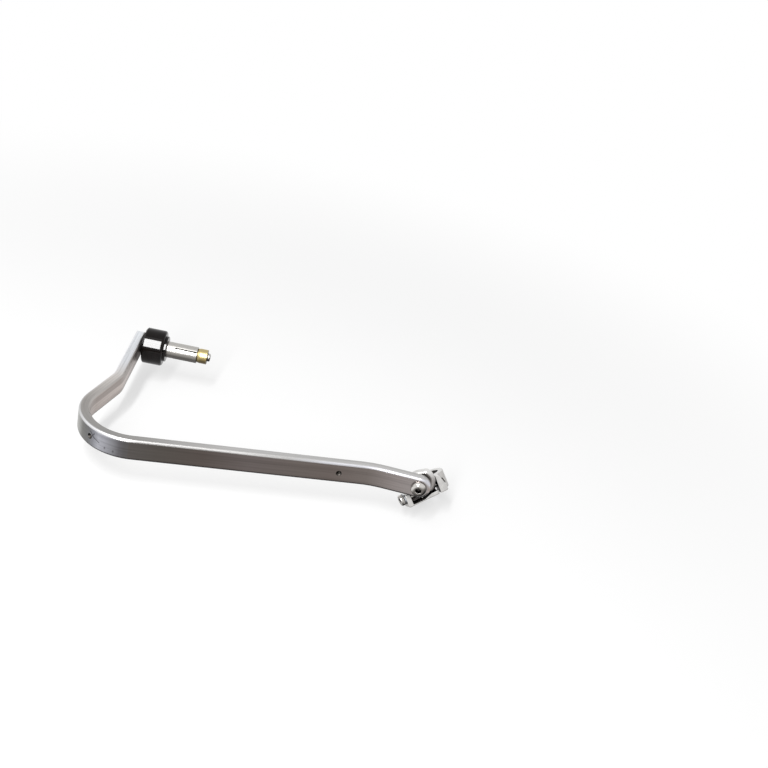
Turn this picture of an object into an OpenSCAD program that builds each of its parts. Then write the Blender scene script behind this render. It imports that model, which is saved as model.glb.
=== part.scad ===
// Open hand guard for the throttle side of a motorcycle handlebar: one bent flat bar,
// a bar end weight with its expander, and a two-half handlebar clamp.
// Frame: +X inboard along the grip axis, +Y rearward, +Z up, all in millimetres.
// Origin: on the grip axis, at the open end of the handlebar tube.

/* [Backbone section] */
// height of the flat bar
bar_height = 20.5; // [16:0.5:26]
// thickness of the flat bar
bar_thickness = 9.5; // [7:0.5:12]
// rounding of the four long edges
bar_edge_radius = 2.8; // [1.5:0.1:3.2]

/* [Backbone path] */
// bar left beyond the bar end hole
outer_end_margin = 9; // [8:0.5:14]
// corner rounding of the cut outer end
outer_end_corner = 3.5; // [1:0.5:5]
// straight run from the bar end hole forward
end_run_length = 78; // [60:1:100]
// turn outward after the end run
elbow_angle = 16; // [8:1:24]
// centre line radius of that turn
elbow_radius = 32; // [24:1:50]
// straight run between elbow and big corner
side_run_length = 42; // [25:1:60]
// turn of the big outer corner
corner_angle = 115; // [106:1:120]
// centre line radius of the big corner
corner_radius = 45; // [32:1:60]
// straight front run
front_run_length = 197; // [160:1:230]
// last turn, away from the handlebar
kink_angle = 14.3; // [8:0.1:20]
// centre line radius of the last turn
kink_radius = 85; // [60:1:120]
// straight run from the last turn to the mounting bolt
inner_run_length = 32; // [24:1:45]

/* [Backbone holes] */
// radius of the clearance holes for the two large bolts
bolt_hole_radius = 4.25; // [4.1:0.05:4.4]
// radius of the two tapped holes for a shield
shield_hole_radius = 2.5; // [2:0.1:3]
// distance of the inner shield hole from the mounting bolt along the bar
shield_hole_back = 73; // [68:1:90]
// angle of the outer shield hole round the big corner, from the front run
shield_hole_angle = 47; // [20:1:70]

/* [Bar end weight] */
// radius of the weight
weight_radius = 17.5; // [15:0.5:20]
// length of the full width part
weight_length = 20; // [14:0.5:30]
// rounding of the rim on the grip side
weight_rim = 2.4; // [1:0.2:3]
// bevel of the rim on the backbone side
weight_bevel = 1.2; // [0.4:0.2:2.4]
// radius of the neck between weight and grip
neck_radius = 12.5; // [11.5:0.5:14]
// length of that neck
neck_length = 2.4; // [1:0.2:6]

/* [Expander] */
// radius of the split sleeve inside the tube
sleeve_radius = 8; // [7.5:0.1:9]
// length of the sleeve
sleeve_length = 30; // [26:1:40]
// width of the four slits
slit_width = 1.4; // [0.8:0.1:2]
// length of the slits
slit_length = 22; // [14:1:23]
// turn of the slits about the grip axis
slit_turn = 45; // [15:5:75]
// length of the cone inside the sleeve
cone_depth = 12; // [8:1:14]
// growth of the cone radius per millimetre
cone_rate = 0.2; // [0.14:0.01:0.22]
// length of the cone nut left outside the sleeve
cone_nut_rest = 10; // [6:1:14]
// distance of the cone nut from the bottom of the sleeve's cone
cone_standoff = 3; // [2:0.5:5]
// bar end bolt left beyond the cone nut
bar_end_bolt_rest = 3; // [1:0.5:6]

/* [Large bolts] */
// thread radius of the bar end bolt and the mounting bolt
large_bolt_radius = 4; // [3.8:0.05:4]
// radius of their button heads
button_radius = 7; // [6.5:0.25:8]
// height of their button heads
button_height = 4.4; // [3.6:0.2:5]
// distance across the flats of their sockets
button_socket = 5; // [4:0.5:6]
// depth of their sockets
button_socket_depth = 2.8; // [2:0.2:3]
// thread length of the mounting bolt below its head
mounting_bolt_length = 18; // [16:1:19]
// radius of the bar end washer
washer_radius = 8.5; // [8:0.5:11]
// thickness of the bar end washer
washer_thickness = 1.6; // [1.2:0.2:2.4]
// radius of the countersunk head of the bar end bolt
sunk_radius = 8; // [7.5:0.25:8.5]
// depth of that head below the outer face
sunk_depth = 0.2; // [0.1:0.05:0.4]
// straight rim of the button heads
button_rim = 1.1; // [0.6:0.1:1.6]
// flat round the sockets of the button heads
button_flat = 1.2; // [0.8:0.1:1.6]
// bevel of the ends of the large bolts
large_bolt_bevel = 0.8; // [0.4:0.1:1]

/* [Clamp] */
// radius of the handlebar in the clamp
clamp_bore_radius = 11.1; // [10.9:0.1:11.5]
// wall round the bore
clamp_wall = 4.5; // [4:0.5:7]
// length of the clamp along the handlebar
clamp_width = 16.6; // [15:0.2:20]
// gap between the two halves
clamp_gap = 1.6; // [1:0.2:3]
// distance of each clamp bolt from the bore axis
clamp_bolt_offset = 15.5; // [15.3:0.1:18]
// metal beyond each clamp bolt's axis, away from the bore
ear_margin = 5.5; // [5:0.25:7]
// rounding of the ears' corners
ear_round = 1.2; // [0.5:0.1:2]
// depth of the front half at the upper bolt, from the middle of the gap
upper_depth = 31.6; // [31:0.2:36]
// depth of the front half at the lower bolt
lower_depth = 16; // [14:0.5:20]
// depth of the rear half at its ears
rear_depth = 8.3; // [8:0.1:12]

/* [Clamp place] */
// distance of the bore centre inboard of the mounting bolt
clamp_inboard = 12.9; // [11:0.1:16]
// distance of the bore centre behind the middle of the bar
clamp_behind = 31.2; // [31:0.1:35]
// distance of the bore centre below the middle of the bar
clamp_below = 14.7; // [13:0.1:18]
// sweep of the handlebar at the clamp, towards the front
bar_sweep = 30; // [27:0.5:34]
// fall of the handlebar at the clamp, inboard
bar_fall = 50; // [47:0.5:54]
// turn of the clamp about the handlebar
clamp_lean = 37.6; // [34:0.2:42]

/* [Mounting boss] */
// radius of the boss behind the round end of the backbone
boss_radius = 10.2; // [9.5:0.1:10.2]
// radius of its swell on the inboard side
swell_radius = 13.5; // [12:0.1:14]
// start of the swell, inboard of the mounting bolt
swell_from = 3; // [0:0.5:5]
// reach of the swell below the mounting bolt
swell_down = 6; // [3:0.5:7]
// rounding of the swell's corner
swell_round = 4; // [1:0.5:6]
// depth of the boss before it narrows to the clamp
boss_depth = 6; // [5:0.5:8]
// bevel of the boss rim
boss_bevel = 1.2; // [0.4:0.2:2]
// step back of the boss from the end of the clamp
boss_inset = 0.4; // [0.2:0.1:1]

/* [Clamp pocket] */
// wall at the head of the upper bolt
pocket_wall = 4.6; // [4:0.2:6]
// rim of the pocket at the lower end of the clamp
pocket_rim = 1.3; // [1:0.1:2]
// reach of the pocket past the upper bolt's axis
pocket_side = 3.5; // [2:0.25:3.5]
// rim of the pocket beside the gap
pocket_foot = 3.7; // [3:0.1:5]
// metal between the pocket and the bore
pocket_floor = 2.7; // [2:0.1:4]
// web left below its deep end
pocket_web = 2; // [1.5:0.1:3]

/* [Clamp bolts] */
// thread radius of the clamp bolts
clamp_bolt_radius = 3; // [2.8:0.1:3.1]
// head radius of the clamp bolts
cap_radius = 5; // [4.5:0.25:5.2]
// head height of the clamp bolts
cap_height = 3.4; // [3:0.2:5]
// bevel of their heads and ends
cap_bevel = 0.6; // [0.3:0.1:0.8]
// distance across the flats of their sockets
cap_socket = 4; // [3:0.5:5]
// depth of their sockets
cap_socket_depth = 2.2; // [1.6:0.2:2.6]
// thickness of the lock washers
lock_washer_thickness = 1.2; // [1:0.1:2]
// radius of the lock washers
lock_washer_radius = 5.1; // [5:0.1:5.4]
// width of the split in the lock washers
lock_washer_split = 0.8; // [0.5:0.1:1.2]
// turn of that split about the bolt
lock_washer_turn = 120; // [0:15:345]
// bolt left beyond the rear half
clamp_bolt_rest = 1; // [0.6:0.2:4]

/* [Clearances] */
// room between a bolt and its clearance hole
bolt_room = 0.25; // [0.1:0.05:0.4]

/* [Show] */
// piece to draw

/* [Hidden] */

// the end run lies flat on the washer, and the washer on the weight
weight_face_x = -neck_length - weight_length;
bar_face_x = weight_face_x - washer_thickness;
line_x = bar_face_x - bar_thickness / 2;

// headings of the runs in plan, anticlockwise from +X
side_heading = -90 - elbow_angle;
front_heading = side_heading + corner_angle;
inner_heading = front_heading - kink_angle;

function ahead(p, heading, length) = [p[0] + length * cos(heading), p[1] + length * sin(heading)];

// end run, elbow, side run, big corner, front run, last turn, inner run
p_end = [line_x, outer_end_margin];
p_elbow = [line_x, -end_run_length];
c_elbow = ahead(p_elbow, 180, elbow_radius);
p_side = ahead(c_elbow, side_heading + 90, elbow_radius);
p_corner = ahead(p_side, side_heading, side_run_length);
c_corner = ahead(p_corner, side_heading + 90, corner_radius);
p_front = ahead(c_corner, front_heading - 90, corner_radius);
p_kink = ahead(p_front, front_heading, front_run_length);
c_kink = ahead(p_kink, front_heading - 90, kink_radius);
p_inner = ahead(c_kink, inner_heading + 90, kink_radius);
p_bolt = ahead(p_inner, inner_heading, inner_run_length);

// the inner shield hole sits on the front run
kink_arc = kink_radius * kink_angle * PI / 180;
hole_from_kink = shield_hole_back - inner_run_length - kink_arc;
p_shield = ahead(p_kink, front_heading, -hole_from_kink);

// bar end stack along the grip axis
outer_face_x = bar_face_x - bar_thickness;
sunk_face_x = outer_face_x + sunk_depth;
cone_start_x = sleeve_length - cone_depth;
cone_nose_x = cone_start_x + cone_standoff;
cone_nut_end_x = sleeve_length + cone_nut_rest;
bar_end_bolt_end_x = cone_nut_end_x + bar_end_bolt_rest;

clamp_outer_radius = clamp_bore_radius + clamp_wall;
clamp_bolt_hole = clamp_bolt_radius + bolt_room;
ear_end = clamp_bolt_offset + ear_margin;
half_width = clamp_width / 2;
half_gap = clamp_gap / 2;
ear_root = clamp_bore_radius - 3;
pocket_low = clamp_bore_radius + pocket_floor;
thread_runout = 1;
mounting_hole_depth = mounting_bolt_length - bar_thickness + thread_runout;
overrun = 1;
long = 400;
thin = 0.1;
// a bent stretch is slimmer by this on every side, and reaches this far into the straight runs
bend_slim = 0.01;
bend_lap = 0.3;

// corner arc of a polygon, centre c, radius r, from angle a to angle b
function arc(c, r, a, b, n = 6) =
    [for (i = [0:n]) [c[0] + r * cos(a + (b - a) * i / n), c[1] + r * sin(a + (b - a) * i / n)]];

module bar_section(slim = 0) {
    r = bar_edge_radius - slim;
    x = bar_thickness / 2 - bar_edge_radius;
    y = bar_height / 2 - bar_edge_radius;
    polygon(concat(arc([x, -y], r, -90, 0), arc([x, y], r, 0, 90),
                   arc([-x, y], r, 90, 180), arc([-x, -y], r, 180, 270)));
}

// a straight run of the bar from p along the heading
module run(p, heading, length) {
    translate([p[0], p[1], 0]) rotate([0, 0, heading]) rotate([90, 0, 90])
        linear_extrude(height = length) bar_section();
}

// a turn of the bar round c, from the direction start over the angle, with its laps
module turn(c, radius, start, angle, steps) {
    more = bend_lap / radius * 180 / PI;
    translate([c[0], c[1], 0]) rotate([0, 0, start - more])
        rotate_extrude(angle = angle + 2 * more, $fn = steps) translate([radius, 0]) bar_section(bend_slim);
}

// the round inner end, turned about the mounting bolt
module round_end() {
    r = bar_edge_radius - bend_slim;
    y = bar_thickness / 2 - bar_edge_radius;
    x = bar_height / 2 - bar_edge_radius;
    side = bar_thickness / 2 - bend_slim;
    translate([p_bolt[0], p_bolt[1], 0]) rotate([0, 0, inner_heading])
        rotate([90, 0, 0]) rotate([0, 0, -92])
            rotate_extrude(angle = 184, $fn = 96)
                polygon(concat([[0, -side]], arc([x, -y], r, -90, 0), arc([x, y], r, 0, 90), [[0, side]]));
}

// rounds one corner of the cut outer end
module end_corner_cut() {
    r = outer_end_corner;
    translate([line_x - bar_thickness, outer_end_margin - r, bar_height / 2 - r])
        difference() {
            cube([2 * bar_thickness, r + overrun, r + overrun]);
            translate([-overrun, 0, 0]) rotate([0, 90, 0])
                cylinder(h = 2 * bar_thickness + 2 * overrun, r = r, $fn = 48);
        }
}

// a round hole through the bar at p, square to the heading
module bar_hole(p, heading, radius) {
    translate([p[0], p[1], 0]) rotate([0, 0, heading]) rotate([90, 0, 0])
        translate([0, 0, -bar_thickness]) cylinder(h = 2 * bar_thickness, r = radius, $fn = 64);
}

// seat of the countersunk head in the outer face of the end run
module sunk_seat() {
    wide = sunk_radius + sunk_depth + bolt_room;
    turned([[outer_face_x - overrun, 0], [outer_face_x - overrun, wide], [outer_face_x, wide],
            [outer_face_x + wide - bolt_hole_radius, bolt_hole_radius],
            [outer_face_x + wide - bolt_hole_radius, 0]]);
}

module backbone() {
    color("#8f8c8b")
    difference() {
        union() {
            run(p_end, -90, outer_end_margin + end_run_length);
            turn(c_elbow, elbow_radius, -elbow_angle, elbow_angle, 240);
            run(p_side, side_heading, side_run_length);
            turn(c_corner, corner_radius, side_heading - 90, corner_angle, 144);
            run(p_front, front_heading, front_run_length);
            turn(c_kink, kink_radius, inner_heading + 90, kink_angle, 240);
            run(p_inner, inner_heading, inner_run_length);
            round_end();
        }
        end_corner_cut();
        mirror([0, 0, 1]) end_corner_cut();
        bar_hole([line_x, 0], -90, bolt_hole_radius);
        sunk_seat();
        bar_hole(p_bolt, inner_heading, bolt_hole_radius);
        bar_hole(p_shield, front_heading, shield_hole_radius);
        bar_hole(ahead(c_corner, front_heading - 90 - shield_hole_angle, corner_radius),
                 front_heading - shield_hole_angle, shield_hole_radius);
    }
}

// turned about the grip axis: profile points are [distance along +X, radius]
module turned(points, steps = 96) {
    rotate([0, 90, 0]) rotate_extrude($fn = steps)
        polygon([for (p = points) [p[1], p[0]]]);
}

module bar_end_weight() {
    hole = large_bolt_radius + bolt_room;
    rim_x = -neck_length - weight_rim;
    color("#15100f")
    turned(concat([[weight_face_x, hole], [weight_face_x, weight_radius - weight_bevel],
                   [weight_face_x + weight_bevel, weight_radius]],
                  [for (i = [0:8]) [rim_x + weight_rim * sin(i * 90 / 8),
                                    weight_radius - weight_rim + weight_rim * cos(i * 90 / 8)]],
                  [[-neck_length, neck_radius], [0, neck_radius], [0, hole]]));
}

module bar_end_washer() {
    hole = large_bolt_radius + bolt_room;
    color("#b9bcc0")
    turned([[bar_face_x, hole], [bar_face_x, washer_radius],
            [weight_face_x, washer_radius], [weight_face_x, hole]], 64);
}

module expander_sleeve() {
    hole = large_bolt_radius + bolt_room;
    color("#a9a7a2")
    difference() {
        turned([[0, hole], [0, sleeve_radius], [sleeve_length, sleeve_radius],
                [sleeve_length, hole + cone_depth * cone_rate], [cone_start_x, hole]], 64);
        for (turn_by = [slit_turn, slit_turn + 90])
            rotate([turn_by, 0, 0])
                translate([sleeve_length - slit_length, -long / 2, -slit_width / 2])
                    cube([slit_length + overrun, long, slit_width]);
    }
}

module cone_nut() {
    hole = large_bolt_radius + bolt_room;
    nose = hole + cone_standoff * cone_rate;
    wide = hole + (cone_depth + cone_standoff) * cone_rate;
    color("#b5a97c")
    turned([[cone_nose_x, large_bolt_radius], [cone_nose_x, nose], [sleeve_length + cone_standoff, wide],
            [cone_nut_end_x, wide], [cone_nut_end_x, large_bolt_radius]], 64);
}

// a hexagon socket down from z = 0
module socket(flats, depth) {
    translate([0, 0, -overrun]) cylinder(h = depth + overrun, r = flats / sqrt(3), $fn = 6);
}

// button head bolt along +Z, the seat of the head at z = 0, the head below it
module button_bolt(length) {
    flat = button_socket / 2 + button_flat;
    end = large_bolt_radius - large_bolt_bevel;
    difference() {
        rotate_extrude($fn = 64)
            polygon(concat([[0, -button_height]],
                [for (i = [0:8]) let (u = i / 8)
                    [flat + (button_radius - flat) * sin(90 * u),
                     -button_height + (button_height - button_rim) * (1 - cos(90 * u))]],
                [[button_radius, 0], [large_bolt_radius, 0], [large_bolt_radius, length - large_bolt_bevel],
                 [end, length], [0, length]]));
        translate([0, 0, -button_height]) socket(button_socket, button_socket_depth);
    }
}

// countersunk bolt along the grip axis, its flat head just inside the outer face
module bar_end_bolt() {
    cone_end_x = sunk_face_x + sunk_radius - large_bolt_radius;
    color("#c6c8cb")
    difference() {
        turned([[sunk_face_x, 0], [sunk_face_x, sunk_radius], [cone_end_x, large_bolt_radius],
                [bar_end_bolt_end_x - large_bolt_bevel, large_bolt_radius],
                [bar_end_bolt_end_x, large_bolt_radius - large_bolt_bevel], [bar_end_bolt_end_x, 0]], 64);
        translate([sunk_face_x, 0, 0]) rotate([0, 90, 0]) socket(button_socket, button_socket_depth);
    }
}

module mounting_bolt() {
    color("#d2d3d4")
    translate([p_bolt[0], p_bolt[1], 0]) rotate([0, 0, inner_heading])
        translate([0, -bar_thickness / 2, 0]) rotate([-90, 0, 0]) button_bolt(mounting_bolt_length);
}

// clamp frame: x down the handlebar inboard, y along the clamp bolts, z towards the upper bolt
module at_clamp() {
    translate([p_bolt[0] + clamp_inboard, p_bolt[1] + clamp_behind, -clamp_below])
        rotate([clamp_lean, bar_fall, -bar_sweep]) children();
}

// boss frame: x inboard along the backbone, y down, z from its rear face along the mounting bolt
module at_boss() {
    translate([p_bolt[0], p_bolt[1], 0]) rotate([0, 0, inner_heading])
        translate([0, bar_thickness / 2, 0]) rotate([-90, 0, 0]) children();
}

// barrel of the clamp round the handlebar, full circle
module barrel() {
    rotate([0, 90, 0]) translate([0, 0, -half_width])
        cylinder(h = clamp_width, r = clamp_outer_radius, $fn = 96);
}

// an ear with the outline points in x and y, on side 1 or -1 of the bore
module ear(side, points) {
    translate([0, 0, side > 0 ? ear_root : -ear_end]) linear_extrude(height = ear_end - ear_root)
        offset(r = ear_round, $fn = 24) offset(delta = -ear_round) polygon(points);
}

// a hole along the handlebar
module bore() {
    rotate([0, 90, 0]) translate([0, 0, -long / 2]) cylinder(h = long, r = clamp_bore_radius, $fn = 96);
}

// a hole for each clamp bolt
module clamp_bolt_holes(radius) {
    for (side = [-1, 1])
        translate([0, -long / 2, side * clamp_bolt_offset]) rotate([-90, 0, 0])
            cylinder(h = long, r = radius, $fn = 48);
}

// outline of the boss: round behind the backbone's end, swelling inboard and up
module boss_outline(inset = 0) {
    offset(delta = -inset) offset(r = swell_round, $fn = 48) offset(delta = -swell_round) hull() {
        circle(r = boss_radius, $fn = 48);
        intersection() {
            circle(r = swell_radius, $fn = 48);
            translate([swell_from, -swell_radius]) square([swell_radius, swell_radius + swell_down]);
        }
    }
}

// the boss, drawn down to the clamp like the casting
module boss() {
    root = clamp_outer_radius / 2;
    hull() {
        at_boss() {
            linear_extrude(height = thin) boss_outline(boss_bevel);
            translate([0, 0, boss_bevel]) linear_extrude(height = boss_depth - boss_bevel) boss_outline();
        }
        at_clamp() translate([boss_inset - half_width, boss_inset - clamp_outer_radius, root])
            cube([half_width - boss_inset, clamp_outer_radius, clamp_bolt_offset - root]);
    }
}

// pocket round the upper bolt, open on its side of the clamp, deep beside the barrel
module pocket() {
    end = half_width - pocket_rim;
    foot = half_width - pocket_foot;
    edge = clamp_bolt_hole - 1;
    head = -upper_depth + pocket_wall;
    step = -clamp_outer_radius - overrun / 2;
    translate([0, 0, pocket_low]) linear_extrude(height = ear_end - pocket_low + overrun)
        polygon([[end, head], [end, -clamp_outer_radius], [foot, -clamp_outer_radius / 2],
                 [foot, overrun], [0, overrun], [0, -edge], [edge, -clamp_outer_radius / 2],
                 [-pocket_side, -clamp_outer_radius + overrun], [-pocket_side, head]]);
    translate([-pocket_side, head, ear_root + pocket_web])
        cube([end + pocket_side, step - head, ear_end - ear_root]);
}

module clamp_front_half() {
    color("#cfcdca")
    difference() {
        union() {
            at_clamp() {
                barrel();
                ear(1, [[half_width, -upper_depth], [half_width, 0], [-half_width, 0],
                        [-half_width, -upper_depth / 2], [-clamp_bolt_radius, -upper_depth]]);
                ear(-1, [[half_width, -lower_depth], [half_width, 0], [-half_width, 0],
                         [-half_width, -lower_depth]]);
            }
            boss();
        }
        at_clamp() {
            bore();
            translate([-long / 2, -half_gap, -long / 2]) cube([long, long / 2, long]);
            clamp_bolt_holes(clamp_bolt_hole);
            pocket();
        }
        at_boss() translate([0, 0, -overrun])
            cylinder(h = mounting_hole_depth + overrun, r = large_bolt_radius, $fn = 64);
    }
}

module clamp_rear_half() {
    color("#c4bdb9")
    at_clamp() difference() {
        union() {
            barrel();
            for (side = [-1, 1])
                ear(side, [[half_width, 0], [half_width, rear_depth], [clamp_bolt_hole, rear_depth],
                           [-half_width, rear_depth / 2], [-half_width, 0]]);
        }
        bore();
        translate([-long / 2, half_gap - long / 2, -long / 2]) cube([long, long / 2, long]);
        clamp_bolt_holes(clamp_bolt_radius);
    }
}

// socket cap bolt along +Z, the seat of the head at z = 0, the head below it
module cap_bolt(length) {
    difference() {
        rotate_extrude($fn = 64)
            polygon([[0, -cap_height], [cap_radius - cap_bevel, -cap_height],
                     [cap_radius, -cap_height + cap_bevel], [cap_radius, 0], [clamp_bolt_radius, 0],
                     [clamp_bolt_radius, length - cap_bevel], [clamp_bolt_radius - cap_bevel, length],
                     [0, length]]);
        translate([0, 0, -cap_height]) socket(cap_socket, cap_socket_depth);
    }
}

// places a piece at the seat of the upper or lower clamp bolt's head, z along the bolt
module at_clamp_bolt(side) {
    depth = side > 0 ? upper_depth : lower_depth;
    at_clamp() translate([0, -depth - lock_washer_thickness, side * clamp_bolt_offset])
        rotate([-90, 0, 0]) children();
}

module clamp_bolt(side) {
    depth = side > 0 ? upper_depth : lower_depth;
    color("#c9cbce")
    at_clamp_bolt(side) cap_bolt(depth + lock_washer_thickness + rear_depth + clamp_bolt_rest);
}

module lock_washer(side) {
    color("#9fa2a6")
    at_clamp_bolt(side) difference() {
        cylinder(h = lock_washer_thickness, r = lock_washer_radius, $fn = 64);
        translate([0, 0, -overrun])
            cylinder(h = lock_washer_thickness + 2 * overrun, r = clamp_bolt_hole, $fn = 48);
        rotate([0, 0, lock_washer_turn]) translate([0, -lock_washer_split / 2, -overrun])
            cube([2 * lock_washer_radius, lock_washer_split, lock_washer_thickness + 2 * overrun]);
    }
}

module clamp_bolt_upper() clamp_bolt(1);
module clamp_bolt_lower() clamp_bolt(-1);
module lock_washer_upper() lock_washer(1);
module lock_washer_lower() lock_washer(-1);

backbone();
bar_end_weight();
bar_end_bolt();
bar_end_washer();
expander_sleeve();
cone_nut();
mounting_bolt();
clamp_front_half();
clamp_rear_half();
clamp_bolt_upper();
clamp_bolt_lower();
lock_washer_upper();
lock_washer_lower();
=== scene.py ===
import math

import bmesh
import bpy
from mathutils import Matrix, Vector

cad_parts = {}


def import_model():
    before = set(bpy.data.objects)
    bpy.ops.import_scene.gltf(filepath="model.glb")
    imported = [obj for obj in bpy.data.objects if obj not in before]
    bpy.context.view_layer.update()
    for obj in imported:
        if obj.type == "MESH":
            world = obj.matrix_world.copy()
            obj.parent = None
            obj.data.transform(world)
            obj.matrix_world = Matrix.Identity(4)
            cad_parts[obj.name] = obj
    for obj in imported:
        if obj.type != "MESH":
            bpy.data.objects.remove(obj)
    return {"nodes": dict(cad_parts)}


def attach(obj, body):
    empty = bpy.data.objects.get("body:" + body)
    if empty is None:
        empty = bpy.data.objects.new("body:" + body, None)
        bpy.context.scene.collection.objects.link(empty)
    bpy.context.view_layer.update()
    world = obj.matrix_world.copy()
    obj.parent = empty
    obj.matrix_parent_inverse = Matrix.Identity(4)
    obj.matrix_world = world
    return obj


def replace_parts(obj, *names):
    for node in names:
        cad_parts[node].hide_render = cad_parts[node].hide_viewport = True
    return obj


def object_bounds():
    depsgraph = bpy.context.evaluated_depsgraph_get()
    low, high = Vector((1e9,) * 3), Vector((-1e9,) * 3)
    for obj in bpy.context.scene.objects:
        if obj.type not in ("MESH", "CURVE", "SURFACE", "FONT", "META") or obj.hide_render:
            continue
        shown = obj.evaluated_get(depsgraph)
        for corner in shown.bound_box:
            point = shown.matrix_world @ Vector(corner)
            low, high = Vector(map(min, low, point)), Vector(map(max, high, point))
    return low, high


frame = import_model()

# Open hand guard, right side: looks, light and camera.
# +X inboard along the weight's axis, +Y rearward, +Z up, in metres.

CAD_BOX = [list(corner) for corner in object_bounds()]
MM = 0.001
SCENE = bpy.context.scene
NODES = frame["nodes"]

# camera, solved from the bar's edges in the photograph: pixels, millimetres of sensor, degrees and metres
PHOTO_WIDTH = 768
FOCAL_PX = 1113.0
SENSOR_MM = 36.0
CAMERA_AZIMUTH = -4.38
CAMERA_ELEVATION = 27.8
CAMERA_ROLL = 13.55
CAMERA_DISTANCE = 1.0424
CAMERA_TARGET = Vector((0.2124, -0.060, 0.0419))

# the floor lies just under the lowest point, shows this share of background near the object, and is all
# background from FLOOR_FAR metres out
FLOOR_SIZE = 40
FLOOR_MIDDLE = (0.1, -0.05)
FLOOR_DROP = 0.0005
FLOOR_NEAR, FLOOR_FAR = 0.25, 0.9
FLOOR_BACKGROUND = 0.62
STUDIO_LIGHT = 0.35

# centre line of the flat bar in mm, from its outer end: (length, turn in degrees with + to the left, radius)
BAR_START = (-28.75, 9.0)
BAR_HEADING = -90.0
BAR_PATH = [(87.0, 0, 0), (0, -16.0, 32.0), (42.0, 0, 0), (0, 115.0, 45.0), (197.0, 0, 0),
            (0, -14.3, 85.0), (32.0, 0, 0)]
BAR_THICKNESS = 9.5

# tapped holes for a shield in mm: the middle of each hole, and the bar's heading there in degrees
SHIELD_HOLE = 2.5
SHIELD_HOLES = [((183.763, -156.321), 9.0), ((-26.014, -175.058), -38.0)]
SHIELD_PITCH, SHIELD_RIDGE, ROOT_PLAY = 0.8, 0.38, 0.02
RING_INSET, RIDGE_INSET = 0.3, 0.7

# bolts in mm, as the solids have them: thread radius and pitch, head radius and height, socket width and
# depth, and the small edges of head, socket and tip
LARGE_THREAD, LARGE_PITCH = 4.0, 1.25
SMALL_THREAD, SMALL_PITCH = 3.0, 1.0
THREADED, THREAD_ROOT, THREAD_PLAY, THREAD_BEVEL = 14.0, 0.55, 0.05, 0.8
BUTTON_RADIUS, BUTTON_HEIGHT, BUTTON_SOCKET, BUTTON_SOCKET_DEPTH = 7.0, 4.4, 5.0, 2.8
BUTTON_FLAT, BUTTON_RIM = 1.1, 1.0
MOUNTING_LENGTH = 18.0
CAP_RADIUS, CAP_HEIGHT, CAP_SOCKET, CAP_SOCKET_DEPTH = 5.0, 3.4, 4.0, 2.2
CAP_INSET, CAP_ROUND, KNURL, KNURL_TOP, KNURL_FOOT = 0.7, 0.6, 0.16, 0.75, 0.5
FOOT_TOP, FOOT_INSET = 0.35, 0.3
SOCKET_PLAY, SOCKET_LEAD, SOCKET_MOUTH, SOCKET_BOTTOM = 0.05, 0.35, 0.5, 0.3
HEAD_EDGE = 0.25
LOCK_WASHER = 1.2

# the clamp in mm and degrees: where its own frame stands, its turn, and its bolts' places and lengths
CLAMP_AT = Vector((269.216, -124.298, -14.7))
CLAMP_TURN = (37.6, 50.0, -30.0)
CLAMP_OFFSET = 15.5
UPPER_DEPTH, LOWER_DEPTH, REAR_DEPTH, BOLT_REST = 31.6, 16.0, 8.3, 1.0
CAST_MESH, CAST_SMOOTHING, CAST_ROUNDS = 0.3, 0.5, 18

# the weight at the bar end in mm
WEIGHT_FACE, WEIGHT_RADIUS, WEIGHT_NECK, NECK_RADIUS = -22.4, 17.5, -2.4, 12.5
WEIGHT_BEVEL, WEIGHT_RIM, NECK_BEVEL, HOLE_PLAY = 1.2, 2.4, 0.3, 0.25
CRISP = 0.2

# how far the bar's colours run in mm: left and front of the bend, its right end, the bar's end, the clamp
BEND_LEFT, BEND_FRONT, BEND_RIGHT, BAR_END, AT_CLAMP = -48.0, -190.0, 12.0, 10.0, 262.0

# a mark is at full strength over this share of its size; edges turn sharp above this angle in degrees; the
# polished metals get painted light on the side that faces up and outboard, and painted shade on the other
SPOT_CORE, SCRATCH_CORE = 0.35, 0.3
SHARP_ANGLE = 28
PAINTED_LIGHT_SIDE = (-0.5, 0.0, 0.85)

# a colour Mix node's sockets in their order: how much, the colour under, the colour over, and the result
SHARE, UNDER, OVER, MIXED = 0, 6, 7, 2


def linear(hex_colour):
    """An sRGB hex colour as linear RGBA."""
    parts = [int(hex_colour[i:i + 2], 16) / 255 for i in (1, 3, 5)]
    return [c / 12.92 if c <= 0.04045 else ((c + 0.055) / 1.055) ** 2.4 for c in parts] + [1.0]


def add(tree, kind, sockets=(), out=0, stops=(), **settings):
    """Adds a node with its settings and links, and gives one of its outputs. The sockets are its inputs in
    their order or by name, each a value or another node's output. The stops are a ramp's places and colours,
    in hex or as a grey level."""
    node = tree.nodes.new("ShaderNode" + kind)
    for setting, value in settings.items():
        setattr(node, setting, value)
    for key, value in sockets.items() if isinstance(sockets, dict) else enumerate(sockets):
        if isinstance(value, bpy.types.NodeSocket):
            tree.links.new(value, node.inputs[key])
        else:
            node.inputs[key].default_value = value
    if stops:
        elements = node.color_ramp.elements
        while len(elements) < len(stops):
            elements.new(0.5)
        for element, (position, colour) in zip(elements, stops):
            element.position = position
            element.color = linear(colour) if isinstance(colour, str) else [colour] * 3 + [1.0]
    return node.outputs[out] if node.outputs else node


def bare_material(name):
    """A material whose node tree is still empty."""
    material = bpy.data.materials.new(name)
    material.use_nodes = True
    material.node_tree.nodes.clear()
    return material, material.node_tree


def surface(tree, colour, rough, relief, relief_mm, strength, gloss):
    """Closes a finish: its colour, how dull it is, its relief in the surface, and its other gloss values."""
    bump = add(tree, "Bump", {"Strength": strength, "Distance": relief_mm * MM, "Height": relief})
    shader = add(tree, "BsdfPrincipled", {"Base Color": colour, "Roughness": rough, "Normal": bump, **gloss})
    add(tree, "OutputMaterial", (shader,))


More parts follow.
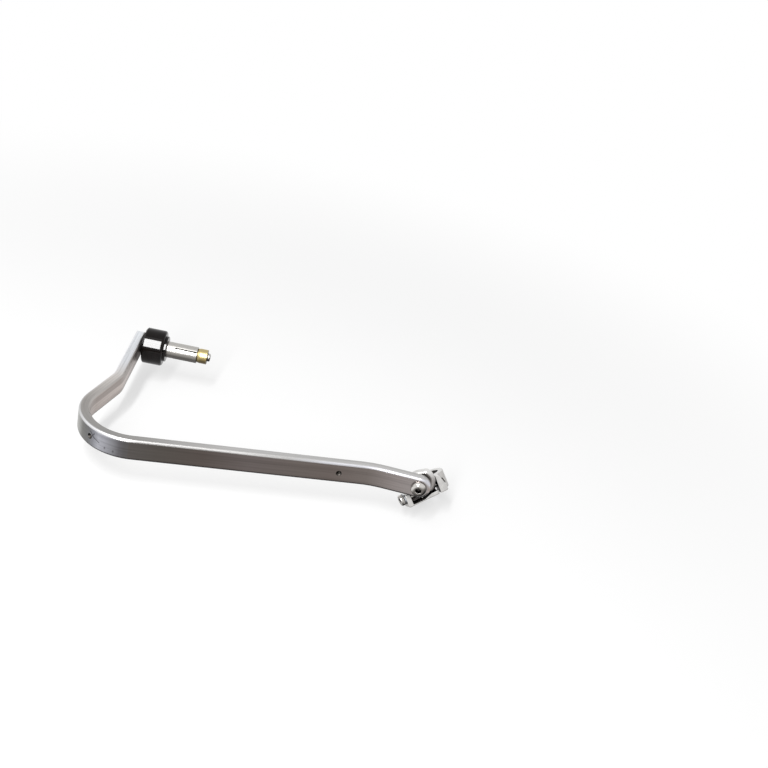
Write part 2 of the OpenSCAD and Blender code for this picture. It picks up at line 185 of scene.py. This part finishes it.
def place(tree):
    """The point in the object's own frame, in millimetres."""
    metres = add(tree, "TexCoord", out="Object")
    return add(tree, "VectorMath", {"Vector": metres, "Scale": 1 / MM}, operation="SCALE")


def facing(tree):
    """The surface's own direction, as x, y and z."""
    return add(tree, "SeparateXYZ", (add(tree, "NewGeometry", out="Normal"),)).node.outputs


def coat(tree, base, layers):
    """Lays colours over base. Each layer is (value, start, full, colour): its colour sets in where the value
    passes start, and covers what is under it from full on."""
    for value, start, full, colour in layers:
        share = add(tree, "MapRange", (value, start, full), interpolation_type="SMOOTHSTEP")
        base = add(tree, "Mix", {SHARE: share, UNDER: base, OVER: colour}, out=MIXED, data_type="RGBA")
    return base


def shade_along(tree, base, pattern, amount, stops):
    """Darkens base where a pattern is low, by the grey levels of the stops and by this amount of them."""
    grey = add(tree, "ValToRGB", (pattern,), stops=stops)
    return add(tree, "Mix", {SHARE: amount, UNDER: base, OVER: grey}, out=MIXED, data_type="RGBA",
               blend_type="MULTIPLY")


def spot(tree, at, middle_mm, radius_mm, stretch):
    """1 at a point and 0 beyond radius_mm from it, the distance stretched along each axis."""
    off = add(tree, "VectorMath", (at, middle_mm), operation="SUBTRACT")
    off = add(tree, "VectorMath", (off, stretch), operation="MULTIPLY")
    distance = add(tree, "VectorMath", (off,), out="Value", operation="LENGTH")
    return add(tree, "MapRange", (distance, radius_mm * SPOT_CORE, radius_mm, 1.0, 0.0),
               interpolation_type="SMOOTHSTEP")


def from_line(tree, at, start_mm, end_mm):
    """Millimetres from the straight line between two points."""
    way = Vector(end_mm) - Vector(start_mm)
    off = add(tree, "VectorMath", (at, start_mm), operation="SUBTRACT")
    share = add(tree, "VectorMath", (off, way / way.length_squared), out="Value", operation="DOT_PRODUCT")
    share = add(tree, "MapRange", (share, 0.0, 1.0))
    foot = add(tree, "VectorMath", {"Vector": way, "Scale": share}, operation="SCALE")
    return add(tree, "VectorMath", (off, foot), out="Value", operation="DISTANCE")


def scratch(tree, at, start_mm, end_mm, half_width_mm):
    """1 on the line from start to end and 0 beyond its half width."""
    distance = from_line(tree, at, start_mm, end_mm)
    return add(tree, "MapRange", (distance, half_width_mm * SCRATCH_CORE, half_width_mm, 1.0, 0.0),
               interpolation_type="SMOOTHSTEP")


def bar_runs():
    """Each run of the bar: its start, the directions ahead and to its left, and for a turn its centre, its
    side (+1 to the left) and its radius."""
    at, heading = Vector((*BAR_START, 0)), math.radians(BAR_HEADING)
    runs = []
    for length, turn, radius in BAR_PATH:
        ahead = Vector((math.cos(heading), math.sin(heading), 0))
        left = Vector((-ahead.y, ahead.x, 0))
        if radius:
            side = math.copysign(1, turn)
            centre = at + left * radius * side
            runs.append((at.copy(), ahead, left, centre, side, radius))
            at = centre + Matrix.Rotation(math.radians(turn), 3, "Z") @ (at - centre)
            heading += math.radians(turn)
        else:
            runs.append((at.copy(), ahead, left, None, 1, 0))
            at = at + ahead * length
    return runs


def across_bar(tree, at):
    """Millimetres from the bar's centre line, + on the inside of the guard, so that the brushing follows each
    bend."""
    flat = add(tree, "VectorMath", (at, (1, 1, 0)), operation="MULTIPLY")
    across = None
    for start, ahead, left, centre, side, radius in bar_runs():
        if centre is None:
            reach = add(tree, "VectorMath", (flat, left), out="Value", operation="DOT_PRODUCT")
            here = add(tree, "Math", (reach, start.dot(left)), operation="SUBTRACT")
        else:
            reach = add(tree, "VectorMath", (flat, centre), out="Value", operation="DISTANCE")
            here = add(tree, "Math", (reach, -side, side * radius), operation="MULTIPLY_ADD")
        if across is None:
            across = here
            continue
        along = add(tree, "VectorMath", (flat, ahead), out="Value", operation="DOT_PRODUCT")
        past = add(tree, "Math", (along, start.dot(ahead)), operation="GREATER_THAN")
        step = add(tree, "Math", (here, across), operation="SUBTRACT")
        across = add(tree, "Math", (step, past, across), operation="MULTIPLY_ADD")
    return across


def drawn_lines(tree, at, across, width_mm, length_mm, detail, rough):
    """Lines that run along the bar, width_mm wide and about length_mm long."""
    x, y, z = add(tree, "SeparateXYZ", (at,)).node.outputs
    along = add(tree, "Math", (x, y), operation="SUBTRACT")
    parts = [add(tree, "Math", (part, size), operation="DIVIDE")
             for part, size in ((across, width_mm), (z, width_mm), (along, length_mm))]
    return add(tree, "TexNoise", {"Vector": add(tree, "CombineXYZ", parts), "Scale": 1.0, "Detail": detail,
                                  "Roughness": rough})


def bar_faces(tree, at, across, bands):
    """The bar's colours, painted by which way each face turns as light and shade: dull outer face, creamy
    inner face, pale top, a painted highlight on the upper edge, painted shade on the lower edge.
    """
    x, y, _ = add(tree, "SeparateXYZ", (at,)).node.outputs
    nx, ny, nz = facing(tree)
    # outer face, with painted reflections that change as it turns round the bend: pale at the bend's far
    # side, a dark band, then scuffed and bluish round its front
    bend = add(tree, "ValToRGB", (add(tree, "MapRange", (x, BEND_LEFT, BEND_RIGHT)),), stops=[
        (0.0, "#b4b4b0"), (0.11, "#9b9b98"), (0.18, "#73726f"), (0.3, "#757576"), (0.37, "#8d8e94"),
        (0.46, "#b3b4bb"), (0.54, "#a9a9b0"), (0.68, "#88888c"), (0.77, "#676568"), (0.84, "#5c5a5a"),
        (0.97, "#5a5755")])
    # and a painted dark reflection along the front run, paler towards the clamp
    front = add(tree, "ValToRGB", (add(tree, "MapRange", (x, 0.0, AT_CLAMP)),), stops=[
        (0.0, "#5b5755"), (0.11, "#56514d"), (0.26, "#59514d"), (0.41, "#68605e"), (0.57, "#6a625e"),
        (0.68, "#6b625e"), (0.8, "#746c68"), (0.9, "#8f8785"), (1.0, "#9a9492")])
    on_front = add(tree, "Math", (x, 6.0), operation="GREATER_THAN")
    outer = add(tree, "Mix", {SHARE: on_front, UNDER: bend, OVER: front}, out=MIXED, data_type="RGBA")
    # the inner faces, with painted light by which way they face, in lengthwise streaks: cream on the side
    # run, brownish grey behind the front run
    inner = add(tree, "ValToRGB", (bands,), stops=[(0.3, "#998f8a"), (0.5, "#a69c97"), (0.7, "#bfb5b0")])
    rear = add(tree, "ValToRGB", (bands,), stops=[(0.35, "#878180"), (0.65, "#9d9895")])
    # the top, painted paler where it faces up: warm grey on the side run and the bend, lighter on the end run
    # and along the front run
    top = add(tree, "ValToRGB", (add(tree, "MapRange", (y, BEND_FRONT, BAR_END)),), stops=[
        (0.0, "#9d9c9a"), (0.25, "#a09c99"), (0.5, "#d2cdc9"), (0.66, "#e0e2e6"), (1.0, "#ebeef2")])
    on_front = add(tree, "MapRange", (x, 10.0, 90.0))
    top = add(tree, "Mix", {SHARE: on_front, UNDER: top, OVER: linear("#bebdbc")}, out=MIXED,
              data_type="RGBA")
    # a painted highlight on the edge above the outer face: white round the bend and paler before the clamp,
    # soft between them
    edge = add(tree, "ValToRGB", (add(tree, "MapRange", (x, BEND_LEFT, AT_CLAMP)),), stops=[
        (0.0, "#c9c9c9"), (0.05, "#f4f4f6"), (0.13, "#f8f8fa"), (0.2, "#a3a2a1"), (0.6, "#b2b1b0"),
        (0.7, "#cdcdd2"), (0.95, "#d6d6dc")])
    # the painted highlight is softer on the edge towards the inside of the guard
    edge = coat(tree, edge, [(across, -1.0, 1.0, linear("#b3afac"))])
    # each face takes its painted tone by which way it turns: inner, rear, the upper edge's painted highlight,
    # the top, painted shade on the lower edge, and a grey underside
    return coat(tree, outer, [
        (nx, 0.15, 0.45, inner), (ny, 0.3, 0.7, rear), (nz, 0.1, 0.5, edge), (nz, 0.75, 0.98, top),
        (nz, -0.06, -0.24, linear("#1c1a19")), (nz, -0.85, -0.98, linear("#8d8986"))])


def brushed_flat_bar():
    """Extruded aluminium flat bar, brushed lengthwise and bent, with light and shade painted by which way
    each face turns: the wide outer face dull and dark, the narrow top pale, a painted highlight along the
    upper edge, and rub marks outside the bends."""
    material, tree = bare_material("brushed_aluminium_flat_bar")
    at = place(tree)
    across = across_bar(tree, at)
    # brush lines, coarsened from 0.15 mm to 0.7 mm so that they show, and wider bands left by the rolls
    lines = drawn_lines(tree, at, across, width_mm=0.7, length_mm=60, detail=3.0, rough=0.6)
    bands = drawn_lines(tree, at, across, width_mm=3.0, length_mm=150, detail=2.0, rough=0.5)
    base = bar_faces(tree, at, across, bands)

    # a crossed scuff and two nicks on the front of the bend, with faint scrapes round them
    strokes = [((-28.4, -179.2, 5.0), (-24.4, -182.0, 0.6), 0.9),
               ((-24.6, -181.8, 4.9), (-27.4, -180.0, 0.2), 0.8),
               ((-24.4, -182.0, 1.0), (-19.6, -184.5, -1.2), 0.7)]
    scuff = 0.0
    for start, end, half_width in strokes:
        scuff = add(tree, "Math", (scuff, scratch(tree, at, start, end, half_width)), operation="MAXIMUM")
    nick = add(tree, "Math", (spot(tree, at, (-14.1, -186.8, -3.8), radius_mm=1.2, stretch=(1, 1, 0.7)),
                              spot(tree, at, (-6.5, -188.7, -4.5), radius_mm=1.1, stretch=(1, 1, 0.7))),
               operation="MAXIMUM")
    scraped = add(tree, "MapRange", (lines, 0.5, 0.62), interpolation_type="SMOOTHSTEP")
    around = spot(tree, at, (-16.0, -186.0, 0.0), radius_mm=20.0, stretch=(1, 1, 0.9))
    scrapes = add(tree, "Math", (around, scraped), operation="MULTIPLY")
    # a smeared rub mark before the clamp, in blotches of 2.5 mm
    blotches = add(tree, "TexNoise", {"Vector": at, "Scale": 1 / 2.5, "Detail": 4.0, "Roughness": 0.7})
    blotches = add(tree, "MapRange", (blotches, 0.4, 0.62), interpolation_type="SMOOTHSTEP")
    smear = scratch(tree, at, (228.2, -154.1, 3.0), (229.8, -153.8, -6.8), half_width_mm=2.6)
    rub = add(tree, "Math", (smear, blotches), operation="MULTIPLY")
    # fine specks along the end run, 1.4 mm apart
    y = add(tree, "SeparateXYZ", (at,), out="Y")
    specks = add(tree, "TexNoise", {"Vector": at, "Scale": 1 / 1.4, "Detail": 2.0, "Roughness": 0.5})
    specks = add(tree, "MapRange", (specks, 0.6, 0.68), interpolation_type="SMOOTHSTEP")
    on_end = add(tree, "MapRange", (y, -70, -45), interpolation_type="SMOOTHSTEP")
    specks = add(tree, "Math", (specks, on_end), operation="MULTIPLY")
    marks = [(specks, 0.3, "#77777b"), (scrapes, 0.3, "#55555b"), (scuff, 0.75, "#3c3a40"),
             (nick, 0.55, "#2e2c2d"), (rub, 0.7, "#3d3735")]
    for mark, strength, colour in marks:
        share = add(tree, "Math", (mark, strength), operation="MULTIPLY")
        base = add(tree, "Mix", {SHARE: share, UNDER: base, OVER: linear(colour)}, out=MIXED,
                   data_type="RGBA")

    # painted shade inside the shield's tapped holes
    for hole, heading in SHIELD_HOLES:
        turn = math.radians(heading)
        middle, out = Vector((*hole, 0)), Vector((math.sin(turn), -math.cos(turn), 0)) * BAR_THICKNESS
        inside = from_line(tree, at, middle - out, middle + out)
        inside = add(tree, "Math", (inside, SHIELD_HOLE + 0.1), operation="LESS_THAN")
        base = add(tree, "Mix", {SHARE: inside, UNDER: base, OVER: linear("#1d1b1a")}, out=MIXED,
                   data_type="RGBA")

    base = shade_along(tree, base, lines, amount=0.8, stops=[(0.3, 0.76), (0.5, 0.97), (0.7, 1.0)])
    base = shade_along(tree, base, bands, amount=0.6, stops=[(0.32, 0.74), (0.6, 1.0)])
    rough = add(tree, "MapRange", (lines, 0.3, 0.7, 0.30, 0.42), interpolation_type="SMOOTHSTEP")
    dents = add(tree, "Math", (scuff, nick), operation="MAXIMUM")
    relief = add(tree, "Math", (dents, -0.6, lines), operation="MULTIPLY_ADD")
    surface(tree, base, rough, relief, relief_mm=0.06, strength=0.12, gloss={"Metallic": 1.0})
    return material


def gloss_black():
    """Turned aluminium, hard anodised black and polished: near black, with one hard clear highlight."""
    material, tree = bare_material("gloss_black_anodised_aluminium")
    at = place(tree)
    # turning marks, coarsened from 0.1 mm to 0.5 mm, and a handling haze in patches of 4 mm
    turned = add(tree, "VectorMath", (at, (1 / 0.5, 1 / 25, 1 / 25)), operation="MULTIPLY")
    marks = add(tree, "TexNoise", {"Vector": turned, "Scale": 1.0, "Detail": 2.0, "Roughness": 0.55})
    haze = add(tree, "TexNoise", {"Vector": at, "Scale": 1 / 4.0, "Detail": 5.0, "Roughness": 0.65})
    colour = add(tree, "ValToRGB", (haze,), stops=[(0.35, "#080605"), (0.7, "#120d0c")])
    rough = add(tree, "MapRange", (haze, 0.3, 0.75, 0.03, 0.07), interpolation_type="SMOOTHSTEP")
    surface(tree, colour, rough, marks, relief_mm=0.02, strength=0.015, gloss={"Specular IOR Level": 0.16})
    return material


def painted_light_from_above(tree, bright, middle, dark, low, high):
    """Painted light and shade: bright where the surface faces up and outboard, dark where it faces down and
    inboard.
    """
    normal = add(tree, "NewGeometry", out="Normal")
    lit = add(tree, "VectorMath", (normal, PAINTED_LIGHT_SIDE), out="Value", operation="DOT_PRODUCT")
    return add(tree, "ValToRGB", (add(tree, "MapRange", (lit, low, high)),),
               stops=[(0.0, dark), (0.45, middle), (0.85, bright), (1.0, bright)])


def painted_shade_in_hollows(tree, base, hollow_mm, dark, closed, opened):
    """Painted shade in hollows up to hollow_mm deep, full where they are closed and gone where opened."""
    sky = add(tree, "AmbientOcclusion", {"Distance": hollow_mm * MM}, out="AO", samples=8)
    share = add(tree, "MapRange", (sky, closed, opened), interpolation_type="SMOOTHSTEP")
    return add(tree, "Mix", {SHARE: share, UNDER: linear(dark), OVER: base}, out=MIXED, data_type="RGBA")


def polished_casting():
    """Aluminium, gravity cast, tumbled and polished: bright and smooth, with painted light and shade by which
    way it faces and painted shade in its hollows.
    """
    material, tree = bare_material("polished_cast_aluminium")
    at = place(tree)
    # the mould's soft ripple, 5 mm across, and tumbling pits, coarsened from 0.2 mm to 0.6 mm
    ripple = add(tree, "TexNoise", {"Vector": at, "Scale": 1 / 5.0, "Detail": 3.0, "Roughness": 0.5})
    pits = add(tree, "TexNoise", {"Vector": at, "Scale": 1 / 0.6, "Detail": 2.0, "Roughness": 0.5})
    # painted light on what faces up and outboard, painted shade on what faces down
    base = painted_light_from_above(tree, "#dfdedc", "#9c9895", "#4b4643", low=-0.5, high=0.6)
    base = shade_along(tree, base, ripple, amount=0.6, stops=[(0.3, 0.72), (0.6, 1.0)])
    # painted shade in the pockets and hollows
    base = painted_shade_in_hollows(tree, base, hollow_mm=9.0, dark="#2b2523", closed=0.25, opened=0.8)
    rough = add(tree, "MapRange", (ripple, 0.3, 0.7, 0.2, 0.3), interpolation_type="SMOOTHSTEP")
    relief = add(tree, "Math", (pits, 0.08, ripple), operation="MULTIPLY_ADD")
    surface(tree, base, rough, relief, relief_mm=0.3, strength=0.15, gloss={"Metallic": 1.0})
    return material


def hardware(name, colours, rough, grain_mm, hollow_mm=2.0):
    """A bright metal whose grain varies its colour and gloss a little. The colours are painted light and
    shade for what faces up, sideways and down, and its hollows get painted shade. The real grain is finer
    than 0.1 mm, so it is drawn grain_mm across to show."""
    material, tree = bare_material(name)
    grain = add(tree, "TexNoise", {"Vector": place(tree), "Scale": 1 / grain_mm, "Detail": 4.0,
                                   "Roughness": 0.6})
    # painted light and shade by which way the surface faces
    base = painted_light_from_above(tree, *colours, low=-0.22, high=0.4)
    base = shade_along(tree, base, grain, amount=0.5, stops=[(0.3, 0.86), (0.6, 1.0)])
    # painted shade in hollows
    base = painted_shade_in_hollows(tree, base, hollow_mm, dark="#1b1917", closed=0.4, opened=0.92)
    dull = add(tree, "MapRange", (grain, 0.3, 0.7, *rough), interpolation_type="SMOOTHSTEP")
    surface(tree, base, dull, grain, relief_mm=0.08, strength=0.05, gloss={"Metallic": 1.0})
    return material


def turned_piece(name, rings, around, material, placing, knurl=0.0):
    """A turned piece in mesh code, from rings of (along, radius). A third word makes a ring "hex", with its
    size across flats, or "knurl", cut into ridges. Edges are sharp where neighbouring rings turn sharply."""
    mesh = bmesh.new()
    loops = []
    for along, size, *kind in rings:
        loop = []
        for i in range(around):
            angle = 2 * math.pi * i / around
            radius = size
            if kind == ["hex"]:
                radius = size / 2 / math.cos((angle + math.pi / 6) % (math.pi / 3) - math.pi / 6)
            elif kind == ["knurl"]:
                radius = size - (knurl if i % 4 in (0, 1) else 0)
            loop.append(mesh.verts.new((radius * math.cos(angle) * MM, radius * math.sin(angle) * MM,
                                        along * MM)))
        loops.append(loop)
    for low, high in zip(loops, loops[1:]):
        for i in range(around):
            j = (i + 1) % around
            mesh.faces.new((low[i], low[j], high[j], high[i]))
    mesh.faces.new(list(reversed(loops[0])))
    mesh.faces.new(loops[-1])
    bmesh.ops.recalc_face_normals(mesh, faces=mesh.faces)
    for face in mesh.faces:
        face.smooth = True
    for edge in mesh.edges:
        edge.smooth = edge.calc_face_angle(0.0) < math.radians(SHARP_ANGLE)
    data = bpy.data.meshes.new(name)
    mesh.to_mesh(data)
    mesh.free()
    data.transform(placing)
    data.materials.append(material)
    piece = bpy.data.objects.new(name, data)
    SCENE.collection.objects.link(piece)
    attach(piece, "root")
    return piece


def rounding(along, size, radius, start, end, steps):
    """Rings on a rounded edge of a turned piece, from one angle to another in degrees."""
    angles = [math.radians(start + (end - start) * i / steps) for i in range(steps + 1)]
    return [(along + radius * math.sin(angle), size + radius * math.cos(angle)) for angle in angles]


def shank(radius, length, pitch):
    """Rings of a bolt's shank: plain under the head, then thread ridges, and a bevel at its tip."""
    rings = [(0, radius)]
    at, end = length - THREADED, length - THREAD_BEVEL
    while at + pitch <= end:
        rings += [(at, radius - THREAD_PLAY), (at + pitch / 2, radius - THREAD_ROOT * pitch)]
        at += pitch
    return rings + [(end, radius - THREAD_PLAY), (length, radius - THREAD_BEVEL)]


def hex_socket(face, flats, depth):
    """Rings of a hexagon socket from its bottom up to the face of the head, with its small lead-in."""
    return [(face + depth, flats * SOCKET_BOTTOM), (face + depth, flats - SOCKET_PLAY, "hex"),
            (face + SOCKET_LEAD, flats - SOCKET_PLAY, "hex"), (face, flats + SOCKET_MOUTH, "hex")]


def button_bolt(name, placing, material):
    """Button head bolt: domed head with a small flat round the socket, and a thin rim."""
    flat, top, steps = BUTTON_SOCKET / 2 + BUTTON_FLAT, -BUTTON_HEIGHT, 18
    rings = hex_socket(top, BUTTON_SOCKET, BUTTON_SOCKET_DEPTH) + [(top, flat)]
    for i in range(1, steps + 1):
        angle = math.pi / 2 * i / steps
        rings.append((top + (BUTTON_HEIGHT - BUTTON_RIM) * (1 - math.cos(angle)),
                      flat + (BUTTON_RADIUS - flat) * math.sin(angle)))
    rings += [(-HEAD_EDGE, BUTTON_RADIUS), (0, BUTTON_RADIUS - HEAD_EDGE)]
    rings += shank(LARGE_THREAD, MOUNTING_LENGTH, LARGE_PITCH)
    return turned_piece(name, rings, 96, material, placing)


def clamp_frame():
    """The clamp's own frame: Y along its bolts and Z from the lower bolt to the upper."""
    lean, fall, sweep = (math.radians(angle) for angle in CLAMP_TURN)
    turn = Matrix.Rotation(sweep, 4, "Z") @ Matrix.Rotation(fall, 4, "Y") @ Matrix.Rotation(lean, 4, "X")
    return Matrix.Translation(CLAMP_AT * MM) @ turn


def cap_bolt(name, side, depth, material):
    """Socket cap bolt on its seat in the clamp: low head with a knurled side and a rounded rim."""
    top = -CAP_HEIGHT
    rings = hex_socket(top, CAP_SOCKET, CAP_SOCKET_DEPTH) + [(top, CAP_RADIUS - CAP_INSET)]
    rings += rounding(top + CAP_ROUND, CAP_RADIUS - CAP_INSET, CAP_ROUND, -90, -20, 5)
    rings += [(top + KNURL_TOP, CAP_RADIUS, "knurl"), (-KNURL_FOOT, CAP_RADIUS, "knurl"),
              (-FOOT_TOP, CAP_RADIUS - HEAD_EDGE), (0, CAP_RADIUS - FOOT_INSET)]
    rings += shank(SMALL_THREAD, depth + LOCK_WASHER + REAR_DEPTH + BOLT_REST, SMALL_PITCH)
    seat = Matrix.Translation(Vector((0, -depth - LOCK_WASHER, side * CLAMP_OFFSET)) * MM)
    placing = clamp_frame() @ seat @ Matrix.Rotation(-math.pi / 2, 4, "X")
    return turned_piece(name, rings, 144, material, placing, KNURL)


def bar_end_weight(material):
    """The turned weight: crisp bevel at the bar, round rim and stepped neck at its inboard end. The extra
    rings beside the bevel and the rim keep its wall straight, so that the light's image has clean edges."""
    hole, rim = LARGE_THREAD + HOLE_PLAY, WEIGHT_NECK - WEIGHT_RIM
    rings = [(WEIGHT_FACE, hole), (WEIGHT_FACE, WEIGHT_RADIUS - WEIGHT_BEVEL),
             (WEIGHT_FACE + WEIGHT_BEVEL, WEIGHT_RADIUS), (WEIGHT_FACE + WEIGHT_BEVEL + CRISP, WEIGHT_RADIUS),
             (rim - CRISP, WEIGHT_RADIUS)]
    rings += rounding(rim, WEIGHT_RADIUS - WEIGHT_RIM, WEIGHT_RIM, 0, 90, 14)
    rings += [(WEIGHT_NECK, NECK_RADIUS), (-NECK_BEVEL, NECK_RADIUS), (0, NECK_RADIUS - NECK_BEVEL),
              (0, hole), (WEIGHT_FACE, hole)]
    along_weight = Matrix.Rotation(math.pi / 2, 4, "Y")
    return turned_piece("weight_turned", rings, 128, material, along_weight)


def tapped_ring(name, hole, heading, material):
    """Thread ridges inside a tapped hole of the bar, a little short of its faces."""
    end, first = BAR_THICKNESS / 2 - RING_INSET, BAR_THICKNESS / 2 - RIDGE_INSET
    rings = [(-end, SHIELD_HOLE)]
    along = -first
    while along < first:
        rings += [(along, SHIELD_HOLE - SHIELD_RIDGE), (along + SHIELD_PITCH / 2, SHIELD_HOLE - ROOT_PLAY)]
        along += SHIELD_PITCH
    rings += [(end, SHIELD_HOLE), (end, SHIELD_HOLE + ROOT_PLAY), (-end, SHIELD_HOLE + ROOT_PLAY)]
    placing = (Matrix.Translation(Vector((*hole, 0)) * MM) @ Matrix.Rotation(math.radians(heading), 4, "Z")
               @ Matrix.Rotation(math.pi / 2, 4, "X"))
    join_ends(turned_piece(name, rings, 64, material, placing))


def join_ends(piece):
    """Joins a tube's last ring to its first, where the end caps were."""
    mesh = bmesh.new()
    mesh.from_mesh(piece.data)
    caps = [face for face in mesh.faces if len(face.verts) > 4]
    rims = [edge for face in caps for edge in face.edges]
    bmesh.ops.delete(mesh, geom=caps, context="FACES_ONLY")
    bmesh.ops.bridge_loops(mesh, edges=rims)
    bmesh.ops.recalc_face_normals(mesh, faces=mesh.faces)
    mesh.to_mesh(piece.data)
    mesh.free()


def cast_copy(node, name, material):
    """A copy of a cast node with its edges softened as the mould and the tumbling leave them. It is made in
    the clamp's own frame, so that the even mesh runs along the casting's edges."""
    data = NODES[node].data.copy()
    data.transform(clamp_frame().inverted())
    data.materials.clear()
    data.materials.append(material)
    piece = bpy.data.objects.new(name, data)
    SCENE.collection.objects.link(piece)
    grid = piece.modifiers.new("even_mesh", "REMESH")
    grid.mode = "VOXEL"
    grid.voxel_size = CAST_MESH * MM
    grid.use_smooth_shade = True
    soften = piece.modifiers.new("tumbled_edges", "SMOOTH")
    soften.factor = CAST_SMOOTHING
    soften.iterations = CAST_ROUNDS
    made = bpy.data.meshes.new_from_object(piece.evaluated_get(bpy.context.evaluated_depsgraph_get()))
    made.transform(clamp_frame())
    piece.modifiers.clear()
    piece.data = made
    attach(piece, "root")
    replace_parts(piece, node)


def camera():
    """The photograph's own viewpoint, tilt and lens."""
    azimuth, elevation, roll = (math.radians(a) for a in (CAMERA_AZIMUTH, CAMERA_ELEVATION, CAMERA_ROLL))
    back = Vector((math.sin(azimuth) * math.cos(elevation), -math.cos(azimuth) * math.cos(elevation),
                   math.sin(elevation)))
    level = (-back).cross(Vector((0, 0, 1))).normalized()
    upright = level.cross(-back)
    right = level * math.cos(roll) + upright * math.sin(roll)
    up = upright * math.cos(roll) - level * math.sin(roll)
    data = bpy.data.cameras.new("photo_camera")
    data.sensor_width = SENSOR_MM
    data.lens = SENSOR_MM * FOCAL_PX / PHOTO_WIDTH
    data.clip_end = FLOOR_SIZE + 10
    seen = bpy.data.objects.new("photo_camera", data)
    SCENE.collection.objects.link(seen)
    turned = Matrix((right, up, back)).transposed().to_4x4()
    seen.matrix_world = Matrix.Translation(CAMERA_TARGET + back * CAMERA_DISTANCE) @ turned
    SCENE.camera = seen


def seen_directly(tree):
    """1 for what the camera, a mirror or clear glass sees, 0 for the light that falls on things."""
    rays = add(tree, "LightPath").node.outputs
    seen = add(tree, "Math", (rays["Is Camera Ray"], rays["Is Glossy Ray"]), operation="MAXIMUM")
    return add(tree, "Math", (seen, rays["Is Transmission Ray"]), operation="MAXIMUM")


def floor():
    """A plain pale floor that keeps the object's shadow and turns into the background further out."""
    bpy.ops.mesh.primitive_plane_add(size=FLOOR_SIZE, location=(*FLOOR_MIDDLE, CAD_BOX[0][2] - FLOOR_DROP))
    ground = bpy.context.object
    ground.name = "floor"
    material, tree = bare_material("pale_floor")
    paint = add(tree, "BsdfPrincipled", {"Base Color": linear("#f2f2f2"), "Roughness": 0.95,
                                         "Specular IOR Level": 0.1})
    white = add(tree, "Emission", {"Color": linear("#ffffff"), "Strength": 1.0})
    reach = add(tree, "VectorMath", (add(tree, "TexCoord", out="Object"),), out="Value", operation="LENGTH")
    background = add(tree, "MapRange", (reach, FLOOR_NEAR, FLOOR_FAR, FLOOR_BACKGROUND, 1.0),
                     interpolation_type="SMOOTHSTEP")
    share = add(tree, "Math", (seen_directly(tree), background), operation="MULTIPLY")
    add(tree, "OutputMaterial", (add(tree, "MixShader", (share, paint, white)),))
    ground.data.materials.append(material)


def world():
    """White surroundings for the camera and in reflections, and an even soft light from all sides."""
    sky = bpy.data.worlds.new("studio")
    SCENE.world = sky
    sky.use_nodes = True
    tree = sky.node_tree
    back = tree.nodes["Background"]
    back.inputs["Color"].default_value = (1, 1, 1, 1)
    strength = add(tree, "MapRange", (seen_directly(tree), 0.0, 1.0, STUDIO_LIGHT, 1.0))
    tree.links.new(strength, back.inputs["Strength"])


def lamp(name, aim, towards, distance, size, power):
    """A soft box that stands in a direction from the point it lights, in metres and watts."""
    data = bpy.data.lights.new(name, "AREA")
    data.shape = "RECTANGLE"
    data.size, data.size_y = size
    data.energy = power
    light = bpy.data.objects.new(name, data)
    SCENE.collection.objects.link(light)
    back = Vector(towards).normalized()
    right = (Vector((1, 0, 0)) - back * back.x).normalized()
    turned = Matrix((right, back.cross(right), back)).transposed().to_4x4()
    light.matrix_world = Matrix.Translation(Vector(aim) + back * distance) @ turned


def give(material, *names):
    """Gives a finish to solids that keep their shape."""
    for name in names:
        for slot in NODES[name].material_slots:
            slot.material = material


SCENE.view_settings.view_transform = "Standard"
camera()
floor()
world()
# the strip's mirror image runs along the weight as the crisp band that the photograph shows
lamp("tall_strip", aim=(-0.012, 0, 0), towards=(-0.14, -0.728, 0.672), distance=1.6, size=(0.09, 1.5),
     power=31)
lamp("soft_left", aim=(0.1, -0.1, 0), towards=(-0.5, -0.4, 1.2), distance=1.5, size=(0.9, 0.9), power=3)

cast = polished_casting()
# each hardware finish gets painted light and shade by which way it faces, and painted shade in its hollows
# cold headed and polished, with painted light above and painted shade on its underside
stainless = hardware("polished_stainless_steel", ("#cfccc8", "#726e6a", "#0e0c0b"),
                     rough=(0.08, 0.16), grain_mm=1.5, hollow_mm=5.0)
# freshly tapped: dull crests over roots in painted shade, its tones kept dark as painted shade inside the
# hole
tapped = hardware("tapped_aluminium_thread", ("#5f5b57", "#2b2826", "#121010"),
                  rough=(0.4, 0.55), grain_mm=0.5, hollow_mm=3.0)
# bright zinc plate: soft blue grey with a dull gloss
zinc = hardware("zinc_plated_steel", ("#c4c7cb", "#9a9da2", "#55575a"), rough=(0.28, 0.42), grain_mm=0.8)
# turned and left bare: pale and satin
bare = hardware("turned_aluminium", ("#b4b2ae", "#94918c", "#5b5855"), rough=(0.25, 0.4), grain_mm=0.9)
# yellow passivated zinc: straw coloured with a faint bloom
straw = hardware("yellow_zinc_plated_steel", ("#b8a878", "#9c8b5f", "#5c5139"), rough=(0.3, 0.42),
                 grain_mm=1.2)

give(brushed_flat_bar(), "backbone")
give(stainless, "bar_end_bolt")
give(zinc, "bar_end_washer", "lock_washer_upper", "lock_washer_lower")
give(bare, "expander_sleeve")
give(straw, "cone_nut")

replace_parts(bar_end_weight(gloss_black()), "bar_end_weight")
run_start, run_ahead, run_left = bar_runs()[-1][:3]
bolt_at = run_start + run_ahead * BAR_PATH[-1][0] - run_left * BAR_THICKNESS / 2
bolt_turn = run_left.to_track_quat("Z", "Y").to_matrix().to_4x4()
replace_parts(button_bolt("mounting_bolt_polished", Matrix.Translation(bolt_at * MM) @ bolt_turn, stainless),
            "mounting_bolt")
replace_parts(cap_bolt("clamp_bolt_upper_polished", 1, UPPER_DEPTH, stainless), "clamp_bolt_upper")
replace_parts(cap_bolt("clamp_bolt_lower_polished", -1, LOWER_DEPTH, stainless), "clamp_bolt_lower")
for number, (hole, heading) in enumerate(SHIELD_HOLES, 1):
    tapped_ring(f"shield_thread_{number}", hole, heading, tapped)
cast_copy("clamp_front_half", "clamp_front_cast", cast)
cast_copy("clamp_rear_half", "clamp_rear_cast", cast)
